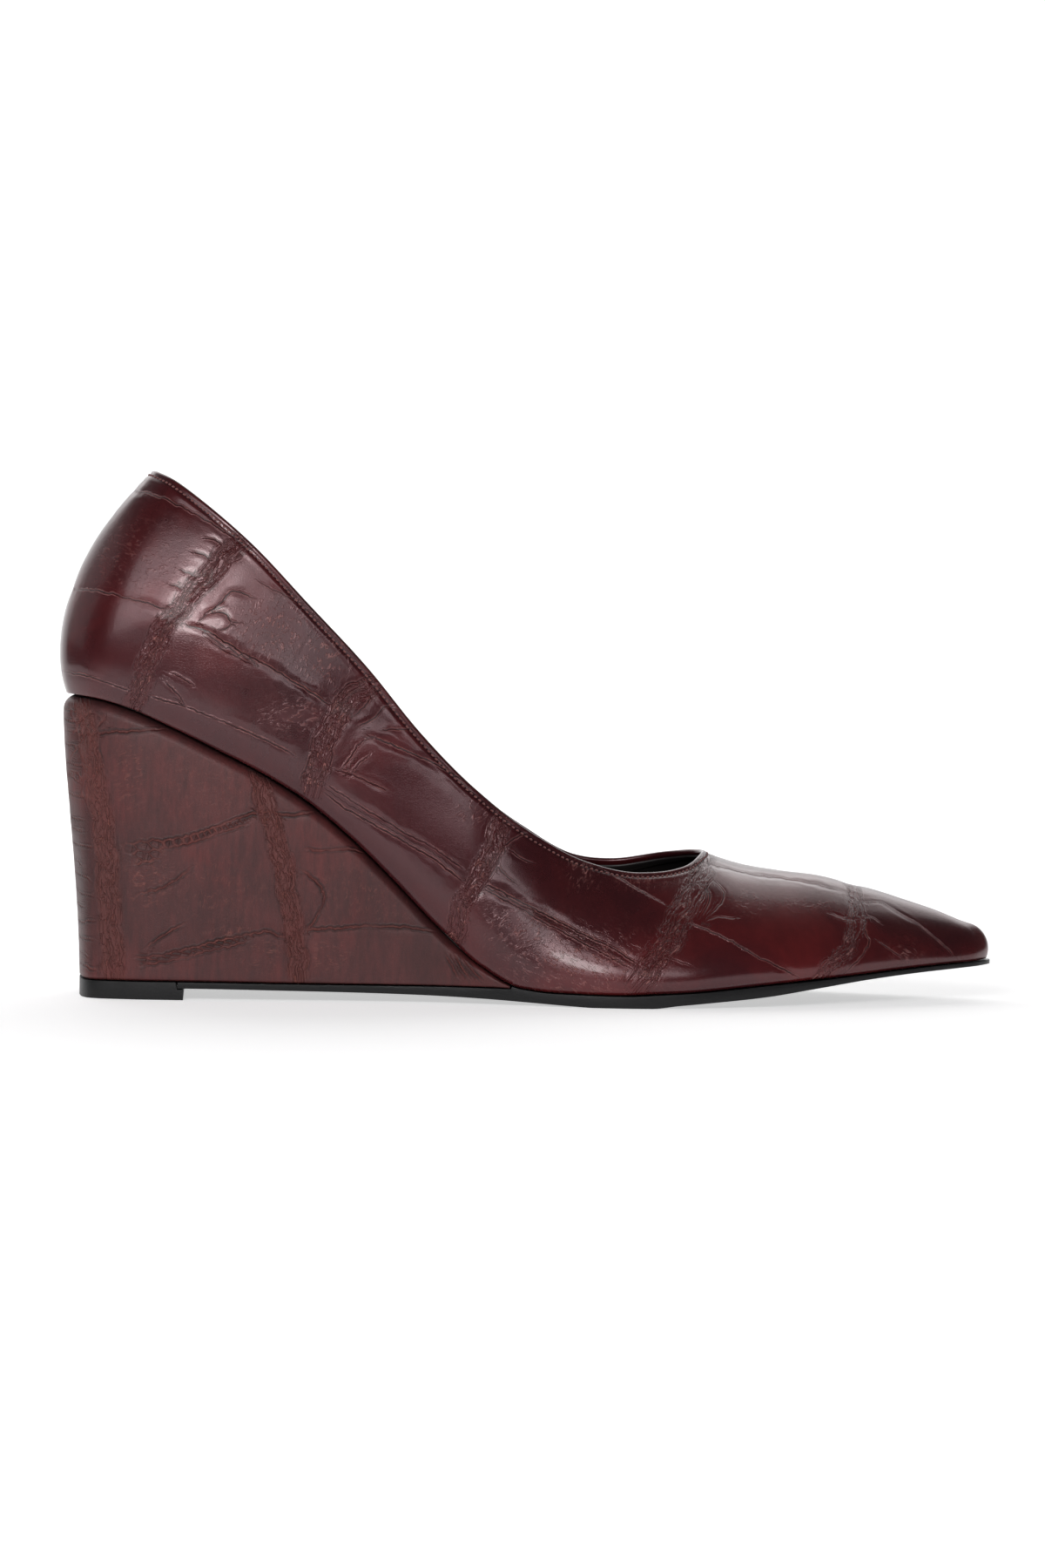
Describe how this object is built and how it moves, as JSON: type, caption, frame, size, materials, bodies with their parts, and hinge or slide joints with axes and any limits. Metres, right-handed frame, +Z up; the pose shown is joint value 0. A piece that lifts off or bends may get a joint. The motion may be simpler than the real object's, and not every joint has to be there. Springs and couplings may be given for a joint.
{
  "type": "wedge court shoe",
  "caption": "Pointed-toe court shoe in embossed leather on a full leather-covered wedge, with a low-cut collar, thin sole and rubber heel lift.",
  "frame": {"origin": "on the floor under the middle of the shoe's box", "axes": "+X to the toe, +Y to the inner side of the foot, +Z up"},
  "size_m": [0.2564, 0.077, 0.1417],
  "materials": {
    "upper": "embossed, semi-gloss",
    "insole": "matte",
    "wedge_heel": "embossed, satin",
    "outsole": "satin",
    "heel_lift": "matte"
  },
  "bodies": {
    "root": {"upper": "upper", "insole": "insole", "wedge_heel": "wedge_heel", "outsole": "outsole", "heel_lift": "heel_lift"}
  },
  "joints": []
}
